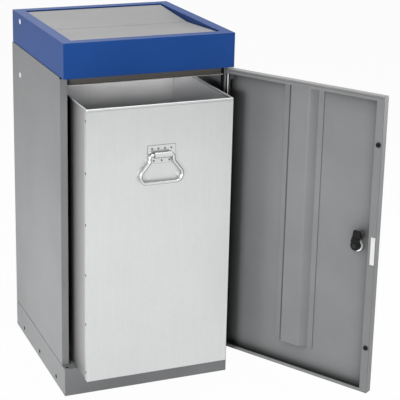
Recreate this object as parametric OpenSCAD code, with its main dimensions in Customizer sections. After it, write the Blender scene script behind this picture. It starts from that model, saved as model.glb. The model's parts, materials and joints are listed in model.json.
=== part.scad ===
// Recycling bin: a sheet steel cabinet with a swing flap in its hood,
// a side hinged door with a turn lock, and a pull-out galvanised bin.
// Millimetres, +Z up, front towards -Y, right hand side towards +X.
// The origin is the centre of the plinth's footprint, on the floor.

/* [Cabinet] */
// overall width
cabinet_w = 400; // [390:5:430]
// overall depth over the plinth and the hood
cabinet_d = 420; // [410:5:450]
// overall height
cabinet_h = 820; // [790:5:880]
// thickness of the painted steel sheet
sheet_t = 1.2; // [1:0.1:1.2]
// height of the plinth
plinth_h = 66; // [56:2:76]
// height of the hood
hood_h = 78; // [74:2:90]
// how far the stiles stand back behind the plinth front
stile_setback = 21; // [21:0.5:23]
// width of each stile seen from the front
stile_w = 16; // [14:1:17]
// depth of the return behind each stile
stile_return = 15; // [12:1:17]
// width of the flanges round the top of the side panels
top_flange_w = 18; // [16:1:20]
// height of the front and rear crossbars
crossbar_h = 20; // [14:1:24]
// depth of the front crossbar
crossbar_d = 15; // [10:1:16]
// depth of the rear crossbar
rear_bar_d = 20; // [15:1:25]
// width of the flange round the top of the plinth
ledge_w = 26; // [24:1:30]
// width of the flange round the foot of the plinth
foot_flange_w = 15; // [10:1:20]
// diameter of the fixing holes in the plinth sides
fixing_hole_d = 8; // [6:0.5:9]
// height of the fixing holes above the floor
fixing_hole_z = 17; // [12:1:24]
// spacing of the fixing holes from front to back
fixing_pitch = 140; // [120:5:150]

/* [Hood and flap] */
// how far the hood stands inside the body at the sides and the back
hood_inset = 1.5; // [0.5:0.5:1.5]
// width of the hood's top flange at the sides
hood_side_flange = 25; // [23:1:27]
// width of the hood's top flange at the front and the back
hood_end_flange = 27; // [26:1:28]
// depth of the hood's turned down lips at the sides
side_lip_d = 30; // [28:1:34]
// depth of the hood's turned down lips at the front and the back
end_lip_d = 14; // [10:1:15]
// gap between the flap and the hood's side lips
flap_side_gap = 2; // [1.5:0.5:3]
// gap between the flap and the hood's end lips
flap_end_gap = 4; // [3.5:0.5:6]
// how far the flap's crease lies below the hood's top
crease_drop = 13; // [11:1:15]
// how far the flap's two ends lie below the hood's top
flap_end_drop = 2.5; // [1.5:0.5:4]
// depth of the turned down ends of the flap
flap_hem_d = 8; // [6:1:10]
// depth of the flap's side flanges at the crease
flap_side_d = 14; // [13:1:15]
// how far the pivot lies below the hood's top
pivot_drop = 19.5; // [19:0.5:21]
// diameter of the flap's pivot pins
pivot_pin_d = 8; // [6:0.5:8]
// width of the balance bar under the flap
balance_w = 25; // [20:1:30]
// thickness of the balance bar
balance_t = 14; // [12:1:16]
// how far the balance bar's middle hangs below the pivot
balance_drop = 30; // [28:1:36]
// distance of each hanger from the flap's side
hanger_inset = 90; // [60:5:110]
// width of the hangers
hanger_w = 20; // [16:1:24]
// thickness of the hangers
hanger_t = 3; // [2:0.5:4]
// diameter of the hood's fixing screws
hood_screw_d = 5; // [4:0.5:6]
// diameter of the heads of the blanking plugs
plug_head_d = 12; // [11:0.5:14]
// diameter of the holes the blanking plugs fill
plug_hole_d = 10; // [8:0.5:10]

/* [Door] */
// how far the door stands open, counted from shut
door_open = 121; // [0:1:170]
// depth of the door tray
door_d = 18; // [17:0.5:18]
// gap between the door's edge and the cabinet's side line
door_side_gap = 0.5; // [0.5:0.25:1]
// gap above and below the door
door_end_gap = 3; // [3:0.5:4]
// width of the lip on the door's free side
free_lip_w = 17.5; // [16:0.5:20]
// width of the lip on the door's hinge side
hinge_lip_w = 14; // [13:0.5:15]
// width of the lip along the door's top
top_lip_w = 11; // [9:1:14]
// width of the lip along the door's foot
foot_lip_w = 8; // [6:1:12]
// distance of the hinge pins from the cabinet's side
pin_side = 7.5; // [7.5:0.25:8]
// distance of the hinge pins behind the door's outer face
pin_back = 8; // [7.5:0.25:8.5]
// diameter of the hinge pins
hinge_pin_d = 7; // [6:0.5:7]
// outside diameter of the hinge bushes
hinge_bush_d = 9; // [8.5:0.25:9]
// width of the stiffener's raised face
stiff_face_w = 54; // [46:2:60]
// how far the stiffener stands off the door sheet
stiff_d = 12; // [9:1:12]
// width each side wall of the stiffener leans over
stiff_lean = 5; // [3:1:7]
// width of each of the stiffener's flanges
stiff_flange_w = 16; // [12:2:20]
// distance of the stiffener's middle from the door's hinge side
stiff_s = 195; // [186:1:200]
// gap between the door's foot and the stiffener's lower end
stiff_foot = 57; // [40:1:80]
// distance of the lock from the cabinet's free side
lock_inset = 51; // [49:1:52]
// height of the lock above the door's middle
lock_rise = -3; // [-20:1:30]
// diameter of the lock barrel
barrel_d = 19; // [17:1:20]
// diameter of the turning core inside the barrel
core_d = 12; // [10:0.5:13]
// outside diameter of the ring nut that clamps the barrel
ring_nut_d = 28; // [25:1:30]
// thickness of the ring nut
ring_nut_t = 6; // [4:0.5:7]
// diameter of the cam's hub
cam_hub_d = 22; // [20:1:23]
// depth of the cam's hub
cam_hub_t = 8; // [6:0.5:8]
// reach of the cam's nose from the lock's axis
cam_reach = 40.5; // [39.5:0.5:41]
// thickness of the cam
cam_t = 4; // [3:0.5:4]
// diameter of the rubber buffers
buffer_d = 10; // [8:0.5:11]
// thickness of the rubber buffers
buffer_t = 2.5; // [1.5:0.25:2.5]
// distance of the lower buffer from the door's foot
buffer_foot = 107; // [90:1:130]
// distance of the upper buffer from the door's top
buffer_head = 104; // [85:1:130]

/* [Bin] */
// gap between the bin and the stile on the door's free side
bin_gap_free = 12; // [9:1:24]
// gap between the bin and the stile on the door's hinge side
bin_gap_hinge = 20; // [16:1:30]
// outside depth of the bin
bin_d = 350; // [340:1:352]
// gap between the bin's rim and the top of the body
bin_top_gap = 49; // [46:1:80]
// thickness of the galvanised sheet
bin_t = 1; // [0.8:0.1:1.2]
// how far the bin's front stands out in front of the plinth
bin_out = 76; // [60:1:90]
// clear gap under the bin
bin_gap = 0.6; // [0.4:0.1:1]
// height of the turned up edges of the bin's bottom
bottom_edge_h = 12; // [9:1:14]
// height of the lowest seam rivet above the bin's foot
seam_end = 20; // [18:1:25]
// height of the band round the bin's rim
rim_h = 6; // [4:0.5:8]
// width of the band round the bin's rim
rim_w = 3.5; // [3:0.25:5]
// depth of the front sheet's side flanges
front_flange_d = 15; // [12:1:20]
// diameter of the seam rivets' heads
seam_head_d = 6; // [5:0.5:7]
// diameter of the seam rivets' shanks
seam_shank_d = 3; // [2.5:0.25:3.5]

/* [Bin handle] */
// sideways offset of the handle from the cabinet's middle
handle_x = -2.5; // [-10:0.5:10]
// distance of the handle's turning axis below the bin's rim
handle_drop = 111.5; // [105:0.5:150]
// width of the handle plate above the knuckle
handle_plate_w = 64; // [62:1:70]
// width of the handle plate below the knuckle
handle_low_w = 46; // [44:1:50]
// height of the handle plate
handle_plate_h = 40; // [38:1:46]
// thickness of the handle plate
handle_plate_t = 1.2; // [1:0.1:1.5]
// diameter of the bail's wire
bail_d = 7; // [6:0.25:7.25]
// outside diameter of the knuckle round the bail
knuckle_d = 14; // [12:0.5:14]
// length of the knuckle
knuckle_l = 39; // [34:1:39]
// distance of each bail neck from the bail's middle
bail_neck = 27.5; // [27.5:0.5:29]
// how far the bail has slid sideways in its knuckle
bail_slide = 1.5; // [0:0.5:1.5]
// half the bail's width at its widest point
bail_wide = 49.5; // [48:0.5:51]
// how far the bail's lower bar hangs below the axis
bail_drop = 62.5; // [60:0.5:62.5]
// diameter of the handle rivets' heads
handle_head_d = 4.5; // [4:0.25:5]

/* [Clearances] */
// radial clearance of the bail in its knuckle
bail_clear = 0.08; // [0.05:0.01:0.1]
// radial clearance of the hinge pins in their bushes
hinge_clear = 0.06; // [0.04:0.01:0.1]
// radial clearance of the flap's pins in their bushes
pivot_clear = 0.06; // [0.04:0.01:0.1]
// radial clearance of the lock core in its barrel
core_clear = 0.05; // [0.03:0.01:0.1]
// gap left between faces that slide past each other
face_gap = 0.4; // [0.3:0.05:0.5]

/* [Hidden] */
$fn = 48;
half_w = cabinet_w / 2;
half_d = cabinet_d / 2;
front_y = -half_d;
body_top = cabinet_h - hood_h;
stile_y = front_y + stile_setback;
back_in_y = half_d - 2 * sheet_t;
side_in_x = half_w - sheet_t;
bar_half = half_w - top_flange_w;
return_in_x = half_w - stile_w + sheet_t;
floor_top = plinth_h + sheet_t;
floor_half = return_in_x - sheet_t - 1.5;

hood_half = half_w - hood_inset;
hood_back = half_d - hood_inset;
mouth_half = hood_half - hood_side_flange;
mouth_front = front_y + hood_end_flange;
mouth_back = hood_back - hood_end_flange;
screw_x = half_w - top_flange_w / 2 - 1;
screw_y = 150;
plug_y = 139;
hood_plug_z = cabinet_h - 17;
body_plug_z = body_top - 68;

pivot_z = cabinet_h - pivot_drop;
flap_half = mouth_half - sheet_t - flap_side_gap;
flap_front = mouth_front + sheet_t + flap_end_gap;
flap_back = mouth_back - sheet_t - flap_end_gap;
crease_z = cabinet_h - crease_drop;
flap_end_z = cabinet_h - flap_end_drop;
lip_bush_out = mouth_half + 4;
balance_l = 2 * flap_half - 60;
hanger_x = flap_half - hanger_inset;

pin_x = half_w - pin_side;
pin_y = front_y + pin_back;
door_half = half_w - door_side_gap;
door_z0 = plinth_h + door_end_gap;
door_z1 = body_top - door_end_gap;
door_in_y = front_y + door_d;
collar_h = door_end_gap - face_gap;
stiff_x = half_w - stiff_s;
stiff_z0 = door_z0 + stiff_foot;
lock_x = -half_w + lock_inset;
lock_z = (door_z0 + door_z1) / 2 + lock_rise;
barrel_end = front_y + sheet_t + ring_nut_t;
hub_y0 = barrel_end + face_gap;
hub_y1 = hub_y0 + cam_hub_t;
cam_y0 = stile_y + sheet_t + 2;
cam_y1 = cam_y0 + cam_t;
slot_z0 = lock_z - 20;
slot_z1 = lock_z + 27;
buffer_low_z = door_z0 + buffer_foot;
buffer_high_z = door_z1 - buffer_head;
buffer_x = -half_w + 8.5;

bin_x0 = -half_w + stile_w + bin_gap_free;
bin_x1 = half_w - stile_w - bin_gap_hinge;
bin_top = body_top - bin_top_gap;
bin_y0 = front_y - bin_out;
bin_y1 = bin_y0 + bin_d;
bin_z0 = floor_top + bin_gap;
wall_top = bin_top - rim_h;
seam_y = bin_y0 + 7;
seam_step = (wall_top - bin_z0 - 2 * seam_end) / 5;
handle_z = bin_top - handle_drop;
handle_y = bin_y0 - handle_plate_t - knuckle_d / 2;
plate_z0 = handle_z - handle_plate_h / 2;
plate_z1 = handle_z + handle_plate_h / 2;

// a box between two corners
module slab(x0, x1, y0, y1, z0, z1) {
  translate([x0, y0, z0])
    cube([x1 - x0, y1 - y0, z1 - z0]);
}

// a round bar along X from x0 to x1
module bar_x(x0, x1, y, z, r) {
  translate([x0, y, z])
    rotate([0, 90, 0])
      cylinder(r = r, h = x1 - x0);
}

// a round bar along Y from y0 to y1
module bar_y(x, y0, y1, z, r) {
  translate([x, y0, z])
    rotate([-90, 0, 0])
      cylinder(r = r, h = y1 - y0);
}

// a round bar along Z from z0 to z1
module bar_z(x, y, z0, z1, r) {
  translate([x, y, z0])
    cylinder(r = r, h = z1 - z0);
}

// turns what is drawn in the shut position about the hinge pins
module door_place() {
  translate([pin_x, pin_y, 0])
    rotate([0, 0, door_open])
      translate([-pin_x, -pin_y, 0])
        children();
}

// box plinth with a ledge round its top and a flange round its foot
module plinth() {
  color([0.5, 0.51, 0.51])
    difference() {
      slab(-half_w, half_w, front_y, half_d, 0, plinth_h);
      slab(-side_in_x, side_in_x, front_y + sheet_t, half_d - sheet_t,
        sheet_t, plinth_h - sheet_t);
      slab(-half_w + ledge_w, half_w - ledge_w, front_y + ledge_w,
        half_d - ledge_w, sheet_t, plinth_h + 1);
      slab(-half_w + foot_flange_w, half_w - foot_flange_w,
        front_y + foot_flange_w, half_d - foot_flange_w, -1, plinth_h - sheet_t);
      for (y = [-fixing_pitch, 0, fixing_pitch])
        bar_x(-half_w - 1, half_w + 1, y, fixing_hole_z, fixing_hole_d / 2);
      for (x = [-pin_x, pin_x])
        bar_z(x, pin_y, plinth_h - sheet_t - 1, plinth_h + 1, hinge_bush_d / 2);
    }
}

// flat floor sheet the bin slides on
module floor_panel() {
  color([0.5, 0.51, 0.51])
    slab(-floor_half, floor_half, stile_y + sheet_t, back_in_y,
      plinth_h, floor_top);
}

// right hand side panel with its stile, return and flanges
module side_shape() {
  difference() {
    union() {
      slab(side_in_x, half_w, stile_y, half_d, plinth_h, body_top);
      slab(half_w - stile_w, half_w, stile_y, stile_y + sheet_t,
        plinth_h, body_top);
      slab(half_w - stile_w, return_in_x, stile_y,
        stile_y + stile_return, plinth_h, body_top);
      slab(half_w - top_flange_w, half_w, half_d - sheet_t, half_d,
        plinth_h, body_top);
      slab(half_w - top_flange_w, half_w, stile_y, half_d,
        body_top - sheet_t, body_top);
    }
    bar_x(side_in_x - 1, half_w + 1, plug_y, body_plug_z, plug_hole_d / 2);
    for (y = [-screw_y, screw_y])
      bar_z(screw_x, y, body_top - sheet_t - 1, body_top + 1, hood_screw_d / 2);
  }
}

// left hand side panel, with the slot the lock's cam turns into
module side_panel_left() {
  color([0.5, 0.51, 0.51])
    difference() {
      mirror([1, 0, 0])
        side_shape();
      slab(-return_in_x - 1, -return_in_x + sheet_t + 1,
        stile_y + sheet_t + 0.5, cam_y1 + 1.5, slot_z0, slot_z1);
    }
}

// right hand side panel
module side_panel_right() {
  color([0.5, 0.51, 0.51])
    side_shape();
}

// plain back sheet held inside the side panels' rear flanges
module back_panel() {
  color([0.5, 0.51, 0.51])
    slab(-side_in_x, side_in_x, back_in_y, half_d - sheet_t,
      plinth_h, body_top - sheet_t);
}

// channel under the hood's front, open towards the front
module front_crossbar() {
  color([0.28, 0.27, 0.25])
    union() {
      slab(-bar_half, bar_half, stile_y + crossbar_d - sheet_t,
        stile_y + crossbar_d, body_top - crossbar_h, body_top);
      slab(-bar_half, bar_half, stile_y, stile_y + crossbar_d,
        body_top - crossbar_h, body_top - crossbar_h + sheet_t);
      slab(-bar_half, bar_half, stile_y, stile_y + crossbar_d,
        body_top - sheet_t, body_top);
    }
}

// angle that ties the side panels together at the back
module rear_crossbar() {
  color([0.5, 0.51, 0.51])
    union() {
      slab(-bar_half, bar_half, back_in_y - rear_bar_d,
        back_in_y - rear_bar_d + sheet_t, body_top - crossbar_h, body_top);
      slab(-bar_half, bar_half, back_in_y - rear_bar_d, back_in_y,
        body_top - sheet_t, body_top);
    }
}

// folded hood: four walls, a top flange with turned down lips, and a
// return round its foot that the body's flanges carry
module hood() {
  color([0.02, 0.2, 0.57])
    difference() {
      union() {
        difference() {
          slab(-hood_half, hood_half, front_y, hood_back,
            body_top, cabinet_h);
          slab(-hood_half + sheet_t, hood_half - sheet_t, front_y + sheet_t,
            hood_back - sheet_t, body_top + sheet_t, cabinet_h - sheet_t);
          slab(-bar_half + 1, bar_half - 1, stile_y + 4, hood_back - 18,
            body_top - 1, cabinet_h - sheet_t);
        }
        for (x = [-mouth_half - sheet_t, mouth_half])
          slab(x, x + sheet_t, mouth_front - sheet_t, mouth_back + sheet_t,
            cabinet_h - side_lip_d, cabinet_h);
        slab(-mouth_half, mouth_half, mouth_front - sheet_t, mouth_front,
          cabinet_h - end_lip_d, cabinet_h);
        slab(-mouth_half, mouth_half, mouth_back, mouth_back + sheet_t,
          cabinet_h - end_lip_d, cabinet_h);
      }
      slab(-mouth_half, mouth_half, mouth_front, mouth_back,
        cabinet_h - sheet_t - 1, cabinet_h + 1);
      bar_x(-mouth_half - sheet_t - 1, mouth_half + sheet_t + 1, 0, pivot_z,
        pivot_pin_d / 2 + 2);
      bar_x(-hood_half - 1, -hood_half + sheet_t + 1, plug_y, hood_plug_z,
        plug_hole_d / 2);
      bar_x(hood_half - sheet_t - 1, hood_half + 1, plug_y, hood_plug_z,
        plug_hole_d / 2);
      for (x = [-pin_x, pin_x])
        bar_z(x, pin_y, body_top - 1, body_top + sheet_t + 1,
          hinge_bush_d / 2);
      for (x = [-screw_x, screw_x])
        for (y = [-screw_y, screw_y])
          bar_z(x, y, body_top - 1, body_top + sheet_t + 1,
            hood_screw_d / 2);
    }
}

// four screws that hold the hood down on the side panels
module hood_screws() {
  color([0.7, 0.71, 0.72])
    for (x = [-screw_x, screw_x])
      for (y = [-screw_y, screw_y])
        union() {
          bar_z(x, y, body_top - sheet_t - 2.5, body_top - sheet_t,
            hood_screw_d * 0.9);
          bar_z(x, y, body_top - sheet_t - 1, body_top + sheet_t + 7,
            hood_screw_d / 2);
        }
}

// hexagon nuts on the hood screws
module hood_nuts() {
  color([0.7, 0.71, 0.72])
    for (x = [-screw_x, screw_x])
      for (y = [-screw_y, screw_y])
        difference() {
          translate([x, y, body_top + sheet_t])
            cylinder(r = hood_screw_d * 0.9, h = 4, $fn = 6);
          bar_z(x, y, body_top, body_top + sheet_t + 6, hood_screw_d / 2);
        }
}

// one round plug pushed through a side wall whose outer face is at x
module one_plug(x, z) {
  union() {
    bar_x(x, x + 1.2, plug_y, z, plug_head_d / 2);
    bar_x(x - 5, x + 0.5, plug_y, z, plug_hole_d / 2);
  }
}

// round white plugs in the hood's and the body's side holes
module blanking_plugs() {
  color([0.93, 0.93, 0.93])
    union() {
      one_plug(hood_half, hood_plug_z);
      one_plug(half_w, body_plug_z);
      mirror([1, 0, 0])
        one_plug(hood_half, hood_plug_z);
      mirror([1, 0, 0])
        one_plug(half_w, body_plug_z);
    }
}

// plugs in the hinge holes on the side where the door isn't hung
module spare_hole_plugs() {
  color([0.05, 0.05, 0.05])
    union() {
      bar_z(-pin_x, pin_y, plinth_h, plinth_h + 0.8, hinge_bush_d / 2 + 1);
      bar_z(-pin_x, pin_y, plinth_h - 6, plinth_h + 0.4, hinge_bush_d / 2);
      bar_z(-pin_x, pin_y, body_top - 0.8, body_top, hinge_bush_d / 2 + 1);
      bar_z(-pin_x, pin_y, body_top - 0.4, body_top + 6, hinge_bush_d / 2);
    }
}

// one flanged bush in the hood's right hand lip
module one_pivot_bush() {
  difference() {
    union() {
      bar_x(mouth_half - 1, lip_bush_out, 0, pivot_z, pivot_pin_d / 2 + 2);
      bar_x(mouth_half + sheet_t, mouth_half + sheet_t + 1.5, 0, pivot_z,
        pivot_pin_d / 2 + 4);
    }
    bar_x(mouth_half - 2, lip_bush_out + 1, 0, pivot_z,
      pivot_pin_d / 2 + pivot_clear);
  }
}

// plain bushes the flap's pins turn in
module pivot_bushes() {
  color([0.1, 0.1, 0.1])
    union() {
      one_pivot_bush();
      mirror([1, 0, 0])
        one_pivot_bush();
    }
}

// collared bushes for the door's pins, in the plinth and in the hood
module hinge_bushes() {
  color([0.72, 0.72, 0.7])
    difference() {
      union() {
        bar_z(pin_x, pin_y, plinth_h - 9, plinth_h + 1, hinge_bush_d / 2);
        bar_z(pin_x, pin_y, plinth_h, plinth_h + collar_h, pin_side - 0.6);
        bar_z(pin_x, pin_y, body_top - 1, body_top + sheet_t + 3,
          hinge_bush_d / 2);
        bar_z(pin_x, pin_y, body_top - collar_h, body_top, pin_side - 0.6);
      }
      bar_z(pin_x, pin_y, plinth_h - 10, plinth_h + collar_h + 1,
        hinge_pin_d / 2 + hinge_clear);
      bar_z(pin_x, pin_y, body_top - collar_h - 1, body_top + 10,
        hinge_pin_d / 2 + hinge_clear);
    }
}

// shallow folded flap with turned down ends and side flanges
module flap_panel() {
  color([0.62, 0.62, 0.62])
    difference() {
      translate([-flap_half, 0, 0])
        rotate([90, 0, 90])
          linear_extrude(height = 2 * flap_half)
            polygon([[flap_front, flap_end_z], [0, crease_z],
              [flap_back, flap_end_z], [flap_back, flap_end_z - flap_hem_d],
              [0, crease_z - flap_side_d],
              [flap_front, flap_end_z - flap_hem_d]]);
      translate([-flap_half + sheet_t, 0, 0])
        rotate([90, 0, 90])
          linear_extrude(height = 2 * (flap_half - sheet_t))
            polygon([[flap_front + sheet_t, flap_end_z - sheet_t],
              [0, crease_z - sheet_t],
              [flap_back - sheet_t, flap_end_z - sheet_t],
              [flap_back - sheet_t, pivot_z - 60],
              [flap_front + sheet_t, pivot_z - 60]]);
      bar_x(-flap_half - 1, -flap_half + sheet_t + 1, 0, pivot_z,
        pivot_pin_d / 2);
      bar_x(flap_half - sheet_t - 1, flap_half + 1, 0, pivot_z,
        pivot_pin_d / 2);
    }
}

// pins riveted into the flap's side flanges
module flap_pins() {
  color([0.7, 0.71, 0.72])
    for (m = [0, 1])
      mirror([m, 0, 0])
        bar_x(flap_half - 8, lip_bush_out + 1, 0, pivot_z, pivot_pin_d / 2);
}

// two straps that carry the balance bar under the crease
module flap_hangers() {
  color([0.62, 0.62, 0.62])
    for (m = [0, 1])
      mirror([m, 0, 0])
        slab(hanger_x, hanger_x + hanger_t, -hanger_w / 2, hanger_w / 2,
          pivot_z - balance_drop + balance_t / 2, crease_z - sheet_t);
}

// steel bar that brings the flap back to level
module balance_bar() {
  color([0.62, 0.62, 0.62])
    slab(-balance_l / 2, balance_l / 2, -balance_w / 2, balance_w / 2,
      pivot_z - balance_drop - balance_t / 2,
      pivot_z - balance_drop + balance_t / 2);
}

// door tray: one sheet folded into four walls with inner lips
module door_pan() {
  color([0.5, 0.51, 0.51])
    door_place()
      difference() {
        slab(-door_half, door_half, front_y, door_in_y, door_z0, door_z1);
        slab(-door_half + sheet_t, door_half - sheet_t, front_y + sheet_t,
          door_in_y - sheet_t, door_z0 + sheet_t, door_z1 - sheet_t);
        slab(-door_half + free_lip_w, door_half - hinge_lip_w,
          front_y + sheet_t, door_in_y + 1, door_z0 + foot_lip_w,
          door_z1 - top_lip_w);
        bar_y(lock_x, front_y - 1, front_y + sheet_t + 1, lock_z,
          barrel_d / 2);
        bar_z(pin_x, pin_y, door_z0 - 1, door_z1 + 1, hinge_pin_d / 2);
      }
}

// hat shaped stiffener on the inside of the door sheet
module door_stiffener() {
  color([0.5, 0.51, 0.51])
    door_place()
      translate([stiff_x, front_y + sheet_t, stiff_z0])
        linear_extrude(height = door_z1 - sheet_t - stiff_z0)
          polygon([
            [-stiff_face_w / 2 - stiff_lean - stiff_flange_w, 0],
            [-stiff_face_w / 2 - stiff_lean, 0],
            [-stiff_face_w / 2 + sheet_t / 2, stiff_d - sheet_t],
            [stiff_face_w / 2 - sheet_t / 2, stiff_d - sheet_t],
            [stiff_face_w / 2 + stiff_lean, 0],
            [stiff_face_w / 2 + stiff_lean + stiff_flange_w, 0],
            [stiff_face_w / 2 + stiff_lean + stiff_flange_w, sheet_t],
            [stiff_face_w / 2 + stiff_lean + sheet_t / 2, sheet_t],
            [stiff_face_w / 2, stiff_d],
            [-stiff_face_w / 2, stiff_d],
            [-stiff_face_w / 2 - stiff_lean - sheet_t / 2, sheet_t],
            [-stiff_face_w / 2 - stiff_lean - stiff_flange_w, sheet_t]]);
}

// one block that holds a hinge pin in a corner of the tray
module one_pin_block(z0, z1) {
  difference() {
    slab(door_half - hinge_lip_w + 1, door_half - sheet_t,
      front_y + sheet_t, door_in_y - sheet_t, z0, z1);
    bar_z(pin_x, pin_y, z0 - 1, z1 + 1, hinge_pin_d / 2);
  }
}

// blocks in the tray's two hinge corners
module door_pin_blocks() {
  color([0.5, 0.51, 0.51])
    door_place()
      union() {
        one_pin_block(door_z0 + sheet_t, door_z0 + sheet_t + 24);
        one_pin_block(door_z1 - sheet_t - 24, door_z1 - sheet_t);
      }
}

// the door's two hinge pins
module door_hinge_pins() {
  color([0.7, 0.71, 0.72])
    union() {
      bar_z(pin_x, pin_y, plinth_h - 10, door_z0 + sheet_t + 24,
        hinge_pin_d / 2);
      bar_z(pin_x, pin_y, door_z1 - sheet_t - 24, body_top + 10,
        hinge_pin_d / 2);
    }
}

// lock barrel with a flange on the door's outer face
module lock_barrel() {
  color([0.72, 0.73, 0.74])
    door_place()
      difference() {
        union() {
          bar_y(lock_x, front_y - 2, front_y, lock_z, barrel_d / 2 + 3);
          bar_y(lock_x, front_y - 1, barrel_end, lock_z, barrel_d / 2);
        }
        bar_y(lock_x, front_y - 3, barrel_end + 1, lock_z,
          core_d / 2 + core_clear);
      }
}

// ring nut that clamps the barrel against the inside of the sheet
module lock_ring_nut() {
  color([0.75, 0.76, 0.77])
    door_place()
      difference() {
        bar_y(lock_x, front_y + sheet_t, front_y + sheet_t + ring_nut_t,
          lock_z, ring_nut_d / 2);
        bar_y(lock_x, front_y, front_y + sheet_t + ring_nut_t + 1,
          lock_z, barrel_d / 2);
        for (a = [0, 60, 120])
          translate([lock_x, front_y + sheet_t + ring_nut_t - 2, lock_z])
            rotate([0, a, 0])
              translate([-ring_nut_d / 2 - 1, 0, -1.5])
                cube([ring_nut_d + 2, 3, 3]);
      }
}

// core that the key turns, with its key slot
module lock_core() {
  color([0.72, 0.73, 0.74])
    door_place()
      difference() {
        bar_y(lock_x, front_y - 2, hub_y0, lock_z, core_d / 2);
        slab(lock_x - 0.7, lock_x + 0.7, front_y - 3, front_y + 4,
          lock_z - core_d / 3, lock_z + core_d / 3);
      }
}

// comma shaped cam on the end of the core, drawn unlocked; it is
// cranked, so that its nose passes behind the stile
module lock_cam() {
  color([0.03, 0.03, 0.03])
    door_place()
      difference() {
        union() {
          bar_y(lock_x, hub_y0, hub_y1, lock_z, cam_hub_d / 2);
          intersection() {
            translate([lock_x, cam_y1 + 1, lock_z])
              rotate([90, 0, 0])
                linear_extrude(height = cam_y1 - hub_y0 + 2)
                  polygon([[8, -5], [-8, -5], [-10, 0], [-9.6, 4],
                    [-8.5, 11], [-10.5, 17], [-15, 22], [-18.5, 27],
                    [-18.8, cam_reach - 4.5], [-16, cam_reach - 1],
                    [-4, cam_reach], [-1.5, cam_reach - 1.5],
                    [-0.5, cam_reach - 6.5], [-0.2, 27], [5, 20],
                    [9.5, 14], [10.5, 9], [9.6, 4], [10, 0]]);
            translate([lock_x - 30, 0, 0])
              rotate([90, 0, 90])
                linear_extrude(height = 60)
                  polygon([[hub_y1 - cam_t, lock_z - 6],
                    [hub_y1 - cam_t, lock_z + 17], [cam_y0, lock_z + 27],
                    [cam_y0, lock_z + cam_reach + 1],
                    [cam_y1, lock_z + cam_reach + 1],
                    [cam_y1, lock_z + 25], [hub_y1, lock_z + 15],
                    [hub_y1, lock_z - 6]]);
          }
        }
        bar_y(lock_x, hub_y0 - 1, hub_y1 + 1, lock_z, 2.5);
      }
}

// screw that holds the cam on the core
module cam_screw() {
  color([0.1, 0.1, 0.1])
    door_place()
      union() {
        bar_y(lock_x, hub_y0, hub_y1 + 1, lock_z, 2.5);
        bar_y(lock_x, hub_y1, hub_y1 + 2.5, lock_z, 4.5);
      }
}

// two rubber buffers on the door's free lip
module door_buffers() {
  color([0.05, 0.05, 0.05])
    door_place()
      for (z = [buffer_low_z, buffer_high_z])
        bar_y(buffer_x, door_in_y, door_in_y + buffer_t, z, buffer_d / 2);
}

// holes for the seam rivets, through both side walls
module seam_holes() {
  for (i = [0 : 5])
    bar_x(bin_x0 - 1, bin_x1 + 1, seam_y, bin_z0 + seam_end + i * seam_step,
      seam_shank_d / 2);
}

// front sheet of the bin, folded back over both sides
module bin_front() {
  color([0.8, 0.82, 0.81])
    difference() {
      union() {
        slab(bin_x0, bin_x1, bin_y0, bin_y0 + bin_t, bin_z0, wall_top);
        slab(bin_x0, bin_x0 + bin_t, bin_y0, bin_y0 + front_flange_d,
          bin_z0, wall_top);
        slab(bin_x1 - bin_t, bin_x1, bin_y0, bin_y0 + front_flange_d,
          bin_z0, wall_top);
      }
      seam_holes();
    }
}

// sides and back of the bin in one sheet
module bin_wrap() {
  color([0.72, 0.74, 0.75])
    difference() {
      union() {
        slab(bin_x0 + bin_t, bin_x0 + 2 * bin_t, bin_y0 + bin_t, bin_y1,
          bin_z0, wall_top);
        slab(bin_x1 - 2 * bin_t, bin_x1 - bin_t, bin_y0 + bin_t, bin_y1,
          bin_z0, wall_top);
        slab(bin_x0 + bin_t, bin_x1 - bin_t, bin_y1 - bin_t, bin_y1,
          bin_z0, wall_top);
      }
      seam_holes();
    }
}

// bottom of the bin, a sheet with its four edges turned up
module bin_bottom() {
  color([0.72, 0.74, 0.75])
    difference() {
      slab(bin_x0 + 2 * bin_t, bin_x1 - 2 * bin_t, bin_y0 + bin_t,
        bin_y1 - bin_t, bin_z0, bin_z0 + bottom_edge_h);
      slab(bin_x0 + 3 * bin_t, bin_x1 - 3 * bin_t, bin_y0 + 2 * bin_t,
        bin_y1 - 2 * bin_t, bin_z0 + bin_t, bin_z0 + bottom_edge_h + 1);
      seam_holes();
    }
}

// folded band round the bin's mouth
module bin_rim() {
  color([0.85, 0.87, 0.87])
    difference() {
      slab(bin_x0 - 0.5, bin_x1 + 0.5, bin_y0 - 0.5, bin_y1 + 0.5,
        wall_top, bin_top);
      slab(bin_x0 - 0.5 + rim_w, bin_x1 + 0.5 - rim_w,
        bin_y0 - 0.5 + rim_w, bin_y1 + 0.5 - rim_w,
        wall_top - 1, bin_top + 1);
    }
}

// one seam rivet through the right hand wall, head outside
module seam_rivet(z) {
  union() {
    bar_x(bin_x1 - 2 * bin_t - 1, bin_x1, seam_y, z, seam_shank_d / 2);
    bar_x(bin_x1, bin_x1 + 0.8, seam_y, z, seam_head_d / 2);
    bar_x(bin_x1 - 3 * bin_t - 1, bin_x1 - 3 * bin_t, seam_y, z,
      seam_head_d / 2);
    bar_x(bin_x1 - 3 * bin_t - 1, bin_x1 - 2 * bin_t, seam_y, z,
      seam_shank_d / 2);
  }
}

// rivets down both front seams of the bin
module bin_rivets() {
  color([0.45, 0.46, 0.46])
    union() {
      for (i = [0 : 5])
        seam_rivet(bin_z0 + seam_end + i * seam_step);
      translate([bin_x0 + bin_x1, 0, 0])
        mirror([1, 0, 0])
          for (i = [0 : 5])
            seam_rivet(bin_z0 + seam_end + i * seam_step);
    }
}

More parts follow.
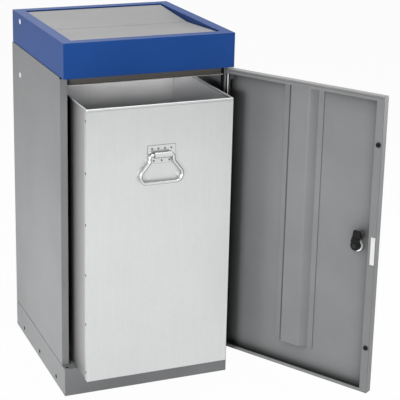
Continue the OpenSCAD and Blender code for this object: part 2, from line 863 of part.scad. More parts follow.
// where the handle rivets go: four above the knuckle, three below
module rivet_spots() {
  for (x = [-22, -7.5, 7.5, 22])
    translate([handle_x + x, 0, handle_z + 12.5])
      children();
  for (x = [-18, 0, 18])
    translate([handle_x + x, 0, handle_z - 14.5])
      children();
}

// handle plate with the knuckle the bail turns in
module handle_plate() {
  color([0.75, 0.77, 0.77])
    difference() {
      union() {
        slab(handle_x - handle_plate_w / 2, handle_x + handle_plate_w / 2,
          bin_y0 - handle_plate_t, bin_y0, handle_z - 3, plate_z1);
        slab(handle_x - handle_low_w / 2, handle_x + handle_low_w / 2,
          bin_y0 - handle_plate_t, bin_y0, plate_z0, handle_z);
        bar_x(handle_x - knuckle_l / 2, handle_x + knuckle_l / 2,
          handle_y, handle_z, knuckle_d / 2);
        slab(handle_x - knuckle_l / 2, handle_x + knuckle_l / 2,
          handle_y, bin_y0, handle_z - knuckle_d / 2 + 1,
          handle_z + knuckle_d / 2 - 1);
      }
      bar_x(handle_x - knuckle_l, handle_x + knuckle_l, handle_y, handle_z,
        bail_d / 2 + bail_clear);
      rivet_spots()
        bar_y(0, bin_y0 - handle_plate_t - 1, bin_y0 + 1, 0, 1.25);
    }
}

// rivets that fix the handle plate, heads on its face
module handle_rivets() {
  color([0.45, 0.46, 0.46])
    rivet_spots()
      union() {
        bar_y(0, bin_y0 - handle_plate_t - 0.8, bin_y0 - handle_plate_t, 0,
          handle_head_d / 2);
        bar_y(0, bin_y0 - handle_plate_t - 0.4, bin_y0, 0, 1.25);
      }
}

// centre line of the bail's right half, from the axis to the middle
// of its lower bar, with a bend radius at each corner
bail_points = [[0, 0], [bail_neck, 0], [bail_neck, -15],
  [bail_wide, -43], [bail_wide - 5.5, -bail_drop], [0, -bail_drop]];
bail_bends = [0, 6, 14, 14, 13, 0];
bend_lap = 0.05;
bend_thin = 0.02;

// length, turn and cut-back of a bend at point i
function run(a, b) = norm(b - a);
function unit(a, b) = (b - a) / norm(b - a);
function bend_angle(i) = acos(max(-1, min(1,
  unit(bail_points[i - 1], bail_points[i])
  * unit(bail_points[i], bail_points[i + 1]))));
function cut(i) = bail_bends[i] == 0 ? 0 :
  bail_bends[i] * tan(bend_angle(i) / 2);
function cross_z(u, v) = u[0] * v[1] - u[1] * v[0];
function heading(u) = atan2(u[1], u[0]);

// one straight length of the bail between points i and i + 1, run a
// hair into the bends at its ends
module bail_straight(i) {
  a = bail_points[i];
  b = bail_points[i + 1];
  u = unit(a, b);
  p = a + u * (cut(i) - bend_lap);
  length = run(a, b) - cut(i) - cut(i + 1) + 2 * bend_lap;
  translate([p[0], 0, p[1]])
    rotate([0, 90 - heading(u), 0])
      cylinder(r = bail_d / 2, h = length, $fn = 24);
}

// one bend of the bail at point i, a hair thinner than the straights
module bail_bend(i) {
  u = unit(bail_points[i - 1], bail_points[i]);
  v = unit(bail_points[i], bail_points[i + 1]);
  side = cross_z(u, v) > 0 ? 1 : -1;
  c = bail_points[i] - u * cut(i)
    + side * bail_bends[i] * [-u[1], u[0]];
  start = heading(u) - side * 90;
  translate([c[0], 0, c[1]])
    rotate([90, 0, 0])
      rotate([0, 0, side > 0 ? start : start - bend_angle(i)])
        rotate_extrude(angle = bend_angle(i), $fn = 36)
          translate([bail_bends[i], 0, 0])
            circle(r = bail_d / 2 - bend_thin, $fn = 24);
}

// bent wire bail that hangs from the knuckle
module bail() {
  top_half = bail_neck - cut(1) + bend_lap;
  low_half = bail_points[4][0] - cut(4) + bend_lap;
  color([0.82, 0.83, 0.83])
    translate([handle_x - bail_slide, handle_y, handle_z])
      union() {
        bar_x(-top_half, top_half, 0, 0, bail_d / 2);
        bar_x(-low_half, low_half, 0, -bail_drop, bail_d / 2);
        for (m = [0, 1])
          mirror([m, 0, 0])
            union() {
              for (i = [1 : 3])
                bail_straight(i);
              for (i = [1 : 4])
                bail_bend(i);
            }
      }
}

plinth();
floor_panel();
side_panel_left();
side_panel_right();
back_panel();
front_crossbar();
rear_crossbar();
hood();
hood_screws();
hood_nuts();
blanking_plugs();
spare_hole_plugs();
pivot_bushes();
hinge_bushes();
flap_panel();
flap_pins();
flap_hangers();
balance_bar();
door_pan();
door_stiffener();
door_pin_blocks();
door_hinge_pins();
lock_barrel();
lock_ring_nut();
door_buffers();
lock_core();
lock_cam();
cam_screw();
bin_front();
bin_wrap();
bin_bottom();
bin_rim();
bin_rivets();
handle_plate();
handle_rivets();
bail();
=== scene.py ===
import json
import math

import bmesh
import bpy
import numpy as np
from mathutils import Matrix, Vector


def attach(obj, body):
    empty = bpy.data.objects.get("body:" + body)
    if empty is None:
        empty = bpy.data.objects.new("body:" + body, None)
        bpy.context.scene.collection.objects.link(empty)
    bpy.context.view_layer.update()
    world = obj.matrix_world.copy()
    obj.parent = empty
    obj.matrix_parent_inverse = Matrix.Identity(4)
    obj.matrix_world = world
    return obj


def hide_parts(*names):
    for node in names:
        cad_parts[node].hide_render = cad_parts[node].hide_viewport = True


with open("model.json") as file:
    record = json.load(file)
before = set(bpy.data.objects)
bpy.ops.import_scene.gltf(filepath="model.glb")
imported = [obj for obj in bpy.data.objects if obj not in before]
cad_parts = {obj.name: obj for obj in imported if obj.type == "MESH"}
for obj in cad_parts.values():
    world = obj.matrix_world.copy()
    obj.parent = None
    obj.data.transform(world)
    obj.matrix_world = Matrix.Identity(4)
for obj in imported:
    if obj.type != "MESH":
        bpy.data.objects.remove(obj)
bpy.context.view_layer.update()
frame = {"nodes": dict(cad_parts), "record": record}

MM = 0.001
RECORD = frame["record"]
NODES = frame["nodes"]
SLOT = {s["node"]: s["material_slot"] for s in RECORD["subparts"]}
BODY = {n: b for b, ns in RECORD["behaviour"]["bodies"].items() for n in ns}
JOINT = {j["name"]: j for j in RECORD["behaviour"]["joints"]}


def node_box(node):
    """The lowest and the highest corner of a CAD node at rest, in mm."""
    points = np.array([tuple(v.co) for v in NODES[node].data.vertices]) / MM
    return np.round(points.min(axis=0), 3).tolist(), np.round(points.max(axis=0), 3).tolist()


# the cabinet's main sizes in mm, read from the frame
PLINTH_BOX = node_box("plinth")
SIDE_BOX = node_box("side_panel_right")
PLATE_BOX = node_box("handle_plate")
RIM_BOX = node_box("bin_rim")
HALF_W = PLINTH_BOX[1][0]
FRONT = PLINTH_BOX[0][1]
PLINTH_TOP = PLINTH_BOX[1][2]
BODY_TOP = SIDE_BOX[1][2]
STILE_FRONT = SIDE_BOX[0][1]

# sizes in mm as in the part's source
STILE_W = 16.0
DOOR_DEPTH = 18.0
HOLE_Z = 17.0
HOLES_Y = (("front", -140), ("middle", 0), ("rear", 140))
SIDES = (("left", -1), ("right", 1))

# the door's turning axis and how far it stands open at rest
PIN = Vector(JOINT["door_swing"]["pos_m"])
OPEN = math.radians(-JOINT["door_swing"]["range_deg"][0])
OPENING = Matrix.Rotation(OPEN, 3, "Z")
SHUTTING = Matrix.Rotation(-OPEN, 3, "Z")
TO_HINGE = OPENING @ Vector((1, 0, 0))


def here(x, y, z):
    """A point given in mm."""
    return Vector((x, y, z)) * MM


def door_point(s, n, z):
    """A point on the open door: s mm from the hinge side, n mm in from the outer face."""
    return OPENING @ (here(HALF_W - s, FRONT + n, z) - PIN) + PIN


# shading

def new_material(name):
    mat = bpy.data.materials.new(name)
    mat.use_nodes = True
    mat.node_tree.nodes.clear()
    return mat, mat.node_tree


def principled(name):
    mat, tree = new_material(name)
    out = tree.nodes.new("ShaderNodeOutputMaterial")
    bsdf = tree.nodes.new("ShaderNodeBsdfPrincipled")
    link(tree, bsdf, "BSDF", out, "Surface")
    return mat, tree, bsdf


def link(tree, source, output, target, socket):
    tree.links.new(source.outputs[output], target.inputs[socket])


def coords(tree, scale=(1, 1, 1)):
    tex = tree.nodes.new("ShaderNodeTexCoord")
    mapping = tree.nodes.new("ShaderNodeMapping")
    mapping.inputs["Scale"].default_value = scale
    link(tree, tex, "Object", mapping, "Vector")
    return mapping


def noise(tree, mapping, scale, detail=3.0, rough=0.5):
    node = tree.nodes.new("ShaderNodeTexNoise")
    node.inputs["Scale"].default_value = scale
    node.inputs["Detail"].default_value = detail
    node.inputs["Roughness"].default_value = rough
    link(tree, mapping, "Vector", node, "Vector")
    return node


def ramp(tree, source, output, stops):
    """A colour socket that follows a value: stops are (value, colour) pairs."""
    node = tree.nodes.new("ShaderNodeValToRGB")
    elements = node.color_ramp.elements
    while len(elements) < len(stops):
        elements.new(0.5)
    for element, (position, colour) in zip(elements, stops):
        element.position = position
        element.color = (*colour, 1)
    link(tree, source, output, node, "Fac")
    return node.outputs["Color"]


def tone(tree, source, output, stops):
    """A ramp in plain greys: stops are (value, grey) pairs."""
    return ramp(tree, source, output, [(position, (grey, grey, grey)) for position, grey in stops])


def times(tree, first, second):
    """The product of two colour sockets."""
    node = tree.nodes.new("ShaderNodeMix")
    node.data_type = "RGBA"
    node.blend_type = "MULTIPLY"
    factor, a, b = [s for s in node.inputs if s.enabled]
    factor.default_value = 1.0
    tree.links.new(first, a)
    tree.links.new(second, b)
    return [s for s in node.outputs if s.enabled][0]


def painted_corner_shade(tree, reach, low, closed, clear):
    """Painted shade: a tone that falls to low where other surfaces stand within reach, in metres."""
    node = tree.nodes.new("ShaderNodeAmbientOcclusion")
    node.inputs["Distance"].default_value = reach
    return tone(tree, node, "AO", [(closed, low), (clear, 1.0)])


def roughness(tree, bsdf, source, low, high):
    node = tree.nodes.new("ShaderNodeMapRange")
    node.inputs["To Min"].default_value = low
    node.inputs["To Max"].default_value = high
    link(tree, source, "Fac", node, "Value")
    link(tree, node, "Result", bsdf, "Roughness")


def bump(tree, bsdf, source, strength, distance):
    node = tree.nodes.new("ShaderNodeBump")
    node.inputs["Strength"].default_value = strength
    node.inputs["Distance"].default_value = distance
    link(tree, source, "Fac", node, "Height")
    link(tree, node, "Normal", bsdf, "Normal")


def shade(colour, factor):
    return tuple(min(1.0, c * factor) for c in colour)


def two_shades(colour, change):
    """A colour made a little darker and a little lighter."""
    return shade(colour, 1 - change), shade(colour, 1 + change)


def paint(name, colour, rough, specular, grain=0.25, corner_shade=0.0):
    """Powder coat: slight clouds, fine grain, orange peel and, where asked, painted shade in corners."""
    mat, tree, bsdf = principled(name)
    at = coords(tree)
    dark, light = two_shades(colour, 0.05)
    clouds = ramp(tree, noise(tree, at, scale=9.0, detail=4.0), "Fac", [(0.3, dark), (0.7, light)])
    specks = tone(tree, noise(tree, at, scale=900.0, detail=2.0), "Fac", [(0.35, 0.93), (0.65, 1.0)])
    base = times(tree, clouds, specks)
    # painted shade: the colour darkens where other surfaces stand near
    if corner_shade:
        base = times(tree, base, painted_corner_shade(tree, reach=0.05, low=1 - corner_shade, closed=0.5, clear=0.97))
    tree.links.new(base, bsdf.inputs["Base Color"])
    peel = noise(tree, at, scale=420.0, rough=0.6)
    roughness(tree, bsdf, peel, rough - 0.06, rough + 0.06)
    bsdf.inputs["Specular IOR Level"].default_value = specular
    bump(tree, bsdf, peel, grain, distance=0.0004)
    return mat


def galvanised(name, colour, rough, metallic=0.85, heights=(), corner_shade=0.0):
    """Zinc coated sheet: faint spangle, upright rolling streaks, soft smudges and, where asked, painted
    shade in corners.

    heights are (metres, tone) pairs up the sheet, for painted shade that changes with height.
    """
    mat, tree, bsdf = principled(name)
    at = coords(tree)
    cells = tree.nodes.new("ShaderNodeTexVoronoi")
    cells.inputs["Scale"].default_value = 120.0
    link(tree, at, "Vector", cells, "Vector")
    cell_grey = tree.nodes.new("ShaderNodeRGBToBW")
    link(tree, cells, "Color", cell_grey, "Color")
    spangle = tone(tree, cell_grey, "Val", [(0.2, 0.985), (0.8, 1.0)])
    lines = noise(tree, coords(tree, (1.0, 1.0, 0.03)), scale=260.0, rough=0.6)
    streaks = tone(tree, lines, "Fac", [(0.3, 0.9685), (0.7, 1.0)])
    dark, light = two_shades(colour, 0.02)
    clouds = noise(tree, at, scale=6.0, detail=5.0, rough=0.6)
    smudges = ramp(tree, clouds, "Fac", [(0.3, dark), (0.7, light)])
    base = times(tree, times(tree, smudges, spangle), streaks)
    # painted shade that changes with height
    if heights:
        split = tree.nodes.new("ShaderNodeSeparateXYZ")
        link(tree, at, "Vector", split, "Vector")
        base = times(tree, base, tone(tree, split, "Z", heights))
    # painted shade: the colour darkens where other surfaces stand near
    if corner_shade:
        base = times(tree, base, painted_corner_shade(tree, reach=0.15, low=1 - corner_shade, closed=0.3, clear=0.9))
    tree.links.new(base, bsdf.inputs["Base Color"])
    bsdf.inputs["Metallic"].default_value = metallic
    roughness(tree, bsdf, lines, rough - 0.04, rough + 0.04)
    bump(tree, bsdf, lines, 0.08, distance=0.0002)
    return mat


def metal(name, colour, rough, wear=0.5, edge=1.0):
    """Plated steel with fine scratches and a little tarnish; its last argument is its tone where it turns
    away, a painted reflection of darker surroundings.
    """
    mat, tree, bsdf = principled(name)
    tarnish = noise(tree, coords(tree), scale=160.0, detail=4.0, rough=0.6)
    plate = ramp(tree, tarnish, "Fac", [(0.35, shade(colour, 1 - 0.25 * wear)), (0.6, colour)])
    # painted reflection: darker where the surface turns away from view
    turn_from_view = tree.nodes.new("ShaderNodeLayerWeight")
    turn_from_view.inputs["Blend"].default_value = 0.5
    base = times(tree, plate, tone(tree, turn_from_view, "Facing", [(0.3, 1.0), (0.8, edge)]))
    tree.links.new(base, bsdf.inputs["Base Color"])
    bsdf.inputs["Metallic"].default_value = 1.0
    scratch = noise(tree, coords(tree, (0.2, 1.0, 1.0)), scale=1800.0, detail=2.0)
    roughness(tree, bsdf, scratch, rough - 0.06, rough + 0.1)
    bump(tree, bsdf, scratch, 0.06, distance=0.0002)
    return mat


def plastic(name, colour, rough, grain, specular=0.5):
    """Moulded plastic or rubber with a fine eroded skin."""
    mat, tree, bsdf = principled(name)
    skin = noise(tree, coords(tree), scale=1300.0, rough=0.6)
    dark, light = two_shades(colour, 0.1)
    tree.links.new(ramp(tree, skin, "Fac", [(0.3, dark), (0.7, light)]), bsdf.inputs["Base Color"])
    roughness(tree, bsdf, skin, rough - 0.05, rough + 0.05)
    bsdf.inputs["Specular IOR Level"].default_value = specular
    bump(tree, bsdf, skin, grain, distance=0.0003)
    return mat


# colours, and how the bin's sheet darkens with its height in metres, as painted shade
GREY = (0.202, 0.207, 0.21)
BIN_FRONT_SHADE = [(0.1, 0.96), (0.4, 1.0), (0.56, 0.97), (0.69, 0.86)]
BIN_INSIDE_SHADE = [(0.625, 1.0), (0.635, 0.92), (0.645, 0.82), (0.652, 0.77)]
MATS = {
    # powder coats, with lighter and darker copies of the grey that paint light and shade on the door and
    # channel
    "paint_grey": paint("grey_powder_coat", GREY, 0.45, 0.4),
    # the door's grey, with painted shade in its corners and beside its lips and stiffener
    "door_corner_shade_paint": paint("door_coat_corner_shade", GREY, 0.45, 0.4, corner_shade=0.75),
    # painted light: a lighter copy of the grey for the door's top wall, which faces up
    "sill_light_paint": paint("sill_painted_light", (0.42, 0.42, 0.42), 0.45, 0.3),
    # painted shade: a dark copy of the grey for the stiffener's flank facing the hinge
    "shaded_flank_paint": paint("flank_painted_shade", (0.11, 0.113, 0.115), 0.5, 0.3),
    # painted light: a lighter copy of the grey for the stiffener's flank leaning away from the hinge
    "lit_flank_paint": paint("flank_painted_light", shade(GREY, 1.17), 0.45, 0.4),
    # painted light on the front channel's foot, which lies in shade
    "lit_channel_paint": paint("channel_painted_light", (0.62, 0.6, 0.56), 0.5, 0.25),
    # a dark coat, partly the front channel's own colour and partly painted shade from the hood above it;
    # also painted shade along fine crease lines
    "paint_dark": paint("dark_coat_and_painted_shade", (0.125, 0.118, 0.108), 0.5, 0.25),
    "paint_blue": paint("blue_powder_coat", (0.006, 0.058, 0.255), 0.48, 0.22, grain=0.2),
    "flap_grey": paint("flap_powder_coat", (0.36, 0.36, 0.365), 0.5, 0.25),
    "black_steel": paint("black_oxide", (0.010, 0.010, 0.011), 0.5, 0.25, grain=0.12),
    # zinc coated sheets, with darker and lighter copies that paint shade, light and highlights on the bin
    "galvanised": galvanised("galvanised_front", (0.73, 0.745, 0.745), 0.36, heights=BIN_FRONT_SHADE),
    # the bin's sides: a darker copy of the zinc with painted shade near the stile
    "galvanised_side": galvanised("galvanised_side", (0.5, 0.49, 0.495), 0.36, 0.72, corner_shade=0.7),
    # the bin's inside: a darker copy of the zinc with painted shade that changes with height
    "galvanised_inner": galvanised("galvanised_inner", (0.66, 0.66, 0.665), 0.45, 0.6,
                                   heights=BIN_INSIDE_SHADE),
    # painted light: a lighter copy of the zinc for the bin's right inside wall
    "galvanised_lit": galvanised("galvanised_lit", (0.8, 0.8, 0.805), 0.45, 0.6),
    # painted highlight: a near white copy of the zinc for the rim's top and the hinge bead
    "galvanised_edge": galvanised("galvanised_edge", (0.93, 0.94, 0.94), 0.35, 0.5),
    # painted shadow: the dark line round the handle plate
    "painted_shadow_line": galvanised("painted_shadow_line", (0.36, 0.365, 0.365), 0.45, 0.5),
    # plated steel
    "zinc": metal("zinc_plate", (0.70, 0.71, 0.72), 0.28),
    # bright plate darkened where it turns away, as a painted reflection
    "bright_steel": metal("bright_plate", (0.68, 0.69, 0.69), 0.2, wear=0.2, edge=0.12),
    "bright_nut": metal("bright_nut", (0.88, 0.89, 0.89), 0.45, wear=0.15),
    "dark_steel": metal("dull_rivet", (0.22, 0.23, 0.23), 0.45),
    # plastics, rubber and the dark of open gaps
    "white_plastic": plastic("white_plastic", (0.85, 0.85, 0.86), 0.35, 0.15),
    "bearing_plastic": plastic("bearing_plastic", (0.45, 0.45, 0.43), 0.45, 0.15),
    "black_rubber": plastic("black_rubber", (0.009, 0.009, 0.009), 0.75, 0.3, specular=0.12),
    "black_plastic": plastic("black_plastic", (0.008, 0.008, 0.009), 0.55, 0.1, specular=0.12),
    "label_white": plastic("blank_plate", (0.7, 0.7, 0.71), 0.5, 0.1, specular=0.3),
    "shadow_gap": plastic("shadow_gap", (0.012, 0.012, 0.013), 0.9, 0.1, specular=0.05),
}


# making pieces

def place(name, mesh, body, slot, mat=None, replace=()):
    """Puts a mesh on its body, with its slot's material or another one."""
    obj = bpy.data.objects.new(name, mesh)
    bpy.context.scene.collection.objects.link(obj)
    mesh.materials.clear()
    mesh.materials.append(MATS[mat or slot])
    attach(obj, body)
    if replace:
        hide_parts(*replace)
    return obj


def to_mesh(bm, name):
    mesh = bpy.data.meshes.new(name)
    bm.to_mesh(mesh)
    bm.free()
    return mesh


def apply_modifiers(obj):
    graph = bpy.context.evaluated_depsgraph_get()
    old = obj.data
    new = bpy.data.meshes.new_from_object(obj.evaluated_get(graph))
    obj.modifiers.clear()
    obj.data = new
    bpy.data.meshes.remove(old)


def smooth(mesh, angle=40):
    """Shades smooth, but keeps edges sharper than the angle in degrees."""
    mesh.shade_smooth()
    bm = bmesh.new()
    bm.from_mesh(mesh)
    for e in bm.edges:
        if len(e.link_faces) == 2:
            e.smooth = e.calc_face_angle(0) < math.radians(angle)
    bm.to_mesh(mesh)
    bm.free()


def face_width(face):
    return face.calc_area() / max(e.calc_length() for e in face.edges)


def dress(node, fold=1.6, rim=0.35, inner=0.4, mat=None):
    """Draws a node again with rounded edges: radii in mm of outer bends, cut rims and inner bends."""
    flat_angle, edge_angle = math.radians(0.3), math.radians(30)
    thinnest_face = 2.5 * MM
    bm = bmesh.new()
    bm.from_mesh(NODES[node].data)
    bmesh.ops.remove_doubles(bm, verts=bm.verts, dist=MM * MM)
    bmesh.ops.dissolve_limit(bm, angle_limit=flat_angle, verts=bm.verts, edges=bm.edges)
    layers = bm.edges.layers.float
    weight = layers.get("bevel_weight_edge") or layers.new("bevel_weight_edge")
    widest = max(fold, rim, inner)
    for e in bm.edges:
        if len(e.link_faces) != 2 or e.calc_face_angle(0) < edge_angle:
            continue
        if min(face_width(f) for f in e.link_faces) > thinnest_face:
            e[weight] = (fold if e.is_convex else inner) / widest
        else:
            e[weight] = rim / widest
    name = node + "_sheet"
    obj = place(name, to_mesh(bm, name), BODY[node], SLOT[node], mat, [node])
    bevel = obj.modifiers.new("bevel", "BEVEL")
    bevel.width = widest * MM
    bevel.segments = 3
    bevel.limit_method = "WEIGHT"
    bevel.use_clamp_overlap = True
    apply_modifiers(obj)
    smooth(obj.data)
    even = obj.modifiers.new("even", "WEIGHTED_NORMAL")
    even.mode = "FACE_AREA"
    even.keep_sharp = True
    apply_modifiers(obj)
    return obj


def lathe(name, profile, centre, axis, body, slot, steps, mat=None, replace=()):
    """A turned piece: profile is (radius, height) in mm, height along axis."""
    turn = Vector((0, 0, 1)).rotation_difference(Vector(axis)).to_matrix()
    bm = bmesh.new()
    rings = []
    for radius, height in profile:
        angles = [2 * math.pi * k / steps for k in range(steps)] if radius else [0.0]
        points = [here(radius * math.cos(a), radius * math.sin(a), height) for a in angles]
        rings.append([bm.verts.new(turn @ p + centre) for p in points])
    for low, high in zip(rings, rings[1:]):
        for k in range(steps):
            n = (k + 1) % steps
            if len(low) == 1:
                bm.faces.new((low[0], high[n], high[k]))
            elif len(high) == 1:
                bm.faces.new((low[k], low[n], high[0]))
            else:
                bm.faces.new((low[k], low[n], high[n], high[k]))
    bmesh.ops.recalc_face_normals(bm, faces=bm.faces)
    mesh = to_mesh(bm, name)
    smooth(mesh)
    return place(name, mesh, body, slot, mat, replace)


def rectangle(a0, a1, b0, b1):
    return [(a0, b0), (a1, b0), (a1, b1), (a0, b1)]


def moulding(name, outline, low_z, high_z, at, body, slot, mat=None, soft=0.1):
    """An upright strip: an outline in mm, set by at, from low_z to high_z, with its edges softened."""
    bm = bmesh.new()
    low = [bm.verts.new(at(a, b, low_z)) for a, b in outline]
    high = [bm.verts.new(at(a, b, high_z)) for a, b in outline]
    for k in range(len(outline)):
        n = (k + 1) % len(outline)
        bm.faces.new((low[k], low[n], high[n], high[k]))
    bm.faces.new(low[::-1])
    bm.faces.new(high)
    bmesh.ops.recalc_face_normals(bm, faces=bm.faces)
    bmesh.ops.bevel(bm, geom=list(bm.edges), offset=soft * MM, segments=2, affect="EDGES",
                    clamp_overlap=True)
    mesh = to_mesh(bm, name)
    smooth(mesh)
    return place(name, mesh, body, slot, mat)


def ribbon(name, points, half_width, thickness, body, slot, mat):
    """A thin strip laid on a level surface along points in mm, half_width to each side along Y."""
    bm = bmesh.new()
    pairs = [(bm.verts.new(here(x, y - half_width, z)), bm.verts.new(here(x, y + half_width, z)))
             for x, y, z in points]
    for (a, b), (c, d) in zip(pairs, pairs[1:]):
        bm.faces.new((a, b, d, c))
    raised = bmesh.ops.extrude_face_region(bm, geom=list(bm.faces))
    for part in raised["geom"]:
        if isinstance(part, bmesh.types.BMVert):
            part.co.z += thickness * MM
    bmesh.ops.recalc_face_normals(bm, faces=bm.faces)
    return place(name, to_mesh(bm, name), body, slot, mat)


# the nodes drawn again with rounded edges, and the radii in mm that differ from the usual ones
BIN_EDGES = {"fold": 1.5, "rim": 0.3, "inner": 0.3}
ROUNDED = {
    "plinth": {},
    "floor_panel": {},
    "side_panel_left": {"fold": 2.0},
    "side_panel_right": {"fold": 2.0},
    "back_panel": {},
    "front_crossbar": {},
    "rear_crossbar": {},
    "hood": {"fold": 1.8},
    "flap_panel": {"fold": 1.4},
    "door_pan": {"fold": 2.0, "mat": "door_corner_shade_paint"},
    "door_stiffener": {"fold": 1.2},
    "bin_front": BIN_EDGES,
    "bin_wrap": {**BIN_EDGES, "mat": "galvanised_side"},
    "bin_bottom": {**BIN_EDGES, "fold": 1.2},
    "bin_rim": {"fold": 1.5, "rim": 1.5, "inner": 0.6, "mat": "galvanised_edge"},
    "lock_cam": {"fold": 0.9, "rim": 0.8},
    "lock_ring_nut": {"fold": 0.4, "rim": 0.4, "mat": "bright_nut"},
    "lock_barrel": {"fold": 0.4, "rim": 0.4},
    "lock_core": {"fold": 0.3, "rim": 0.3},
    "door_pin_blocks": {"fold": 0.5, "rim": 0.4},
    "balance_bar": {"fold": 0.8, "rim": 0.8},
    "flap_hangers": {"fold": 0.4},
    "handle_plate": {"fold": 0.5},
}
DRESSED = {name: dress(name, **radii) for name, radii in ROUNDED.items()}


def repaint(node, mat, wanted):
    """Gives the faces of a dressed node that pass a test another material."""
    mesh = DRESSED[node].data
    mesh.materials.append(MATS[mat])
    for face in mesh.polygons:
        if wanted(face):
            face.material_index = len(mesh.materials) - 1


def repaint_bin():
    """Gives the sheet's inside its painted shade and its right inside wall painted light, and leaves the
    rim's painted highlight only on top.
    """
    middle = (here(*RIM_BOX[0]) + here(*RIM_BOX[1])) / 2
    flat_top = 0.08
    to_front = -0.6
    to_left = -0.9

    def inside(face):
        out = face.center - middle
        out.z = 0
        return face.normal.dot(out) < 0

    def upright(face):
        return face.normal.z <= flat_top

    repaint("bin_wrap", "galvanised_inner", inside)
    repaint("bin_wrap", "galvanised_lit", lambda f: inside(f) and f.normal.x < to_left)
    repaint("bin_rim", "galvanised", lambda f: upright(f) and not inside(f) and f.normal.y < to_front)
    repaint("bin_rim", "galvanised_side",
            lambda f: upright(f) and not inside(f) and f.normal.y >= to_front)
    repaint("bin_rim", "galvanised_inner", lambda f: upright(f) and inside(f))


def repaint_door():
    """The top wall is lighter, as painted light, and the stiffener's flanks are darker and lighter than the
    sheet, as painted shade and painted light.
    """
    top_wall = 735 * MM
    facing_up = 0.8
    facing_hinge = 0.6
    leaning_away = (-0.9, -0.3)

    def to_hinge(face):
        return face.normal.dot(TO_HINGE)

    repaint("door_pan", "sill_light_paint", lambda f: f.normal.z > facing_up and f.center.z > top_wall)
    repaint("door_stiffener", "shaded_flank_paint", lambda f: to_hinge(f) > facing_hinge)
    repaint("door_stiffener", "lit_flank_paint", lambda f: leaning_away[0] < to_hinge(f) < leaning_away[1])


def repaint_cabinet():
    """The front channel's foot is lighter, as painted light, and the walls of the plinth's holes are dark,
    as painted shade.
    """
    channel_foot = 724 * MM
    side_wall = 197
    facing_sideways = 0.97
    hole_reach = 4.7

    def in_hole(face):
        x, y, z = face.center / MM
        reach = min(math.hypot(y - hole_y, z - HOLE_Z) for _, hole_y in HOLES_Y)
        return abs(x) > side_wall and abs(face.normal.x) < facing_sideways and reach < hole_reach

    repaint("front_crossbar", "lit_channel_paint", lambda f: f.center.z < channel_foot)
    repaint("plinth", "shadow_gap", in_hole)


def lean_stiffener():
    """Leans the stiffener's flanks over as pressed sheet does.

    The pairs are mm from the hinge side as built and as leaned, from one foot over the crown to the other.
    """
    pairs = [(147, 150), (163, 163), (168, 172), (222, 217.5), (227, 235.5), (243, 249)]
    built, leaned = zip(*pairs)
    for v in DRESSED["door_stiffener"].data.vertices:
        shut = SHUTTING @ (v.co - PIN) + PIN
        s = HALF_W - shut.x / MM
        shut.x = (HALF_W - float(np.interp(s, built, leaned))) * MM
        v.co = OPENING @ (shut - PIN) + PIN


def open_seams():
    """Draws the side panels' ends back, for a thin open seam over the plinth and one under the hood."""
    low_seam, high_seam = 1.7, 0.9
    kept = (PLINTH_TOP + 6, BODY_TOP - 5)
    built = [PLINTH_TOP, *kept, BODY_TOP]
    drawn = [PLINTH_TOP + low_seam, *kept, BODY_TOP - high_seam]
    for side, _ in SIDES:
        for v in DRESSED["side_panel_" + side].data.vertices:
            v.co.z = float(np.interp(v.co.z / MM, built, drawn)) * MM


repaint_bin()
repaint_door()
repaint_cabinet()
lean_stiffener()
open_seams()

# the CAD nodes that stay as they are take their slot's material
REDRAWN = ("spare_hole_plugs",)
for node_name, node_obj in NODES.items():
    if node_name not in ROUNDED and node_name not in REDRAWN:
        node_obj.data.materials.clear()
        node_obj.data.materials.append(MATS[SLOT[node_name]])


# pieces that only the scene has

def blank_label():
    """A blank plate on the door's lip, beside the lock."""
    low_z, high_z = 369, 431
    outline = rectangle(388, 398.3, DOOR_DEPTH, DOOR_DEPTH + 0.5)
    moulding("blank_label", outline, low_z, high_z, door_point, "door", "white_plastic", "label_white", 0.15)


def hinge_shadow_strip():
    """A dark strip of painted shadow on the door's hinge lip, with a bead on it made bright as a painted
    highlight.
    """
    n = DOOR_DEPTH
    low_z, high_z = 82, 728
    shadow_outline = [(4.6, n), (13.8, n), (13.8, n + 0.3), (12, n + 0.6),
            (11, n + 0.3), (7.8, n + 0.3), (7, n + 0.6), (4.6, n + 0.4)]
    highlight_outline = [(8.2, n + 0.2), (10.6, n + 0.2), (10.5, n + 0.7),
            (9.9, n + 1.2), (8.9, n + 1.2), (8.3, n + 0.7)]
    moulding("hinge_shadow_strip", shadow_outline, low_z, high_z, door_point, "door", "black_rubber", "shadow_gap", 0.08)
    moulding("hinge_highlight_bead", highlight_outline, low_z, high_z, door_point, "door", "bright_steel", "galvanised_edge")


def handle_shadow_line():
    """A dark line of painted shadow round the handle plate, wide beside its upper part and narrow beside its
    lower part.
    """
    middle = (PLATE_BOX[0][0] + PLATE_BOX[1][0]) / 2
    axis_z = (PLATE_BOX[0][2] + PLATE_BOX[1][2]) / 2
    sheet_y = PLATE_BOX[1][1]
    line_w = 0.9
    line_t = 0.3
    upper = ("upper", 33.1, axis_z, PLATE_BOX[1][2] + line_w)
    lower = ("lower", 24.0, PLATE_BOX[0][2] - line_w, axis_z)
    for part, half_width, low_z, high_z in (upper, lower):
        outline = rectangle(middle - half_width, middle + half_width, sheet_y, sheet_y - line_t)
        moulding("handle_shadow_line_" + part, outline, low_z, high_z, here, "bin", "dark_steel", "painted_shadow_line")


def lip_bend_shade():
    """A dark line of painted shade along the bend of the door's top lip."""
    low_z, high_z = 734.4, 735.6
    outline = rectangle(10, 396, DOOR_DEPTH, DOOR_DEPTH + 0.15)
    moulding("lip_bend_shade", outline, low_z, high_z, door_point, "door", "paint_grey", "paint_dark", 0.05)


